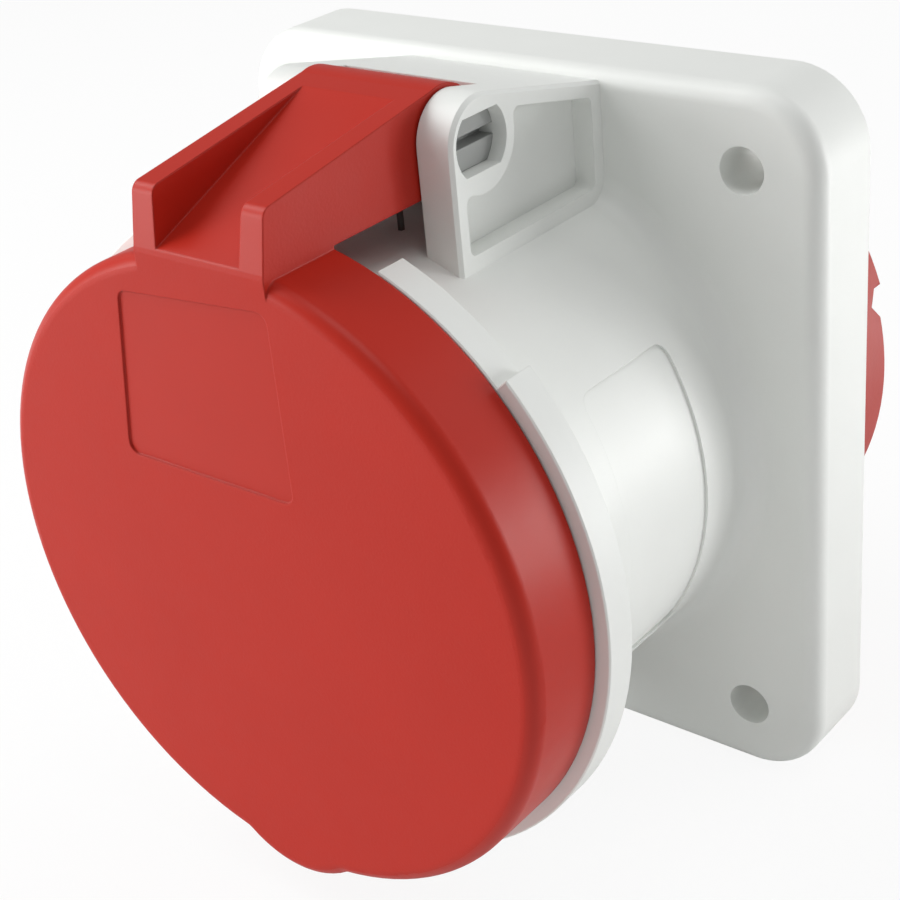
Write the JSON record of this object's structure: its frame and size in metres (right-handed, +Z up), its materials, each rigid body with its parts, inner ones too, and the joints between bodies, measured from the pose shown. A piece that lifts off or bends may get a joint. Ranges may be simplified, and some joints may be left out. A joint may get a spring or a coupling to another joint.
{
  "type": "industrial panel socket",
  "caption": "Square-flanged industrial panel socket with a round barrel, five pin contacts round a keyway, and a sprung red lid on a hinge.",
  "frame": {"origin": "the barrel's axis in the plane of the flange's back, which is the middle of the four fixing holes", "axes": "+X right, +Y into the panel, +Z up, seen from the lid; the lid looks along -Y"},
  "size_m": [0.1, 0.1075, 0.112],
  "materials": {
    "housing_plastic": "satin",
    "lid_plastic": "satin",
    "insulator_plastic": "satin",
    "pin_plastic": "satin",
    "brass": "satin",
    "steel": "satin",
    "seal_rubber": "matt"
  },
  "bodies": {
    "socket": {"housing": "housing_plastic", "hinge_pin": "pin_plastic", "hinge_spring": "steel", "flange_gasket": "seal_rubber", "contact_carrier": "insulator_plastic", "rear_insulator": "insulator_plastic", "carrier_screws": "steel", "earth_contact": "brass", "earth_clamp_ring": "steel", "earth_terminal_screws": "steel", "phase_1_contact": "brass", "phase_1_clamp_ring": "steel", "phase_1_terminal_screws": "steel", "phase_2_contact": "brass", "phase_2_clamp_ring": "steel", "phase_2_terminal_screws": "steel", "phase_3_contact": "brass", "phase_3_clamp_ring": "steel", "phase_3_terminal_screws": "steel", "neutral_contact": "brass", "neutral_clamp_ring": "steel", "neutral_terminal_screws": "steel"},
    "lid": {"lid": "lid_plastic", "lid_seal": "seal_rubber"}
  },
  "joints": [
    {"name": "lid_hinge", "type": "hinge", "parent": "socket", "child": "lid", "pos_m": [0, -0.0395, 0.0518], "axis": [-1, 0, 0], "range_deg": [0, 100], "stiffness_Nm_per_rad": 0.07, "springref_deg": -65.89, "deforming": ["hinge_spring"]}
  ]
}
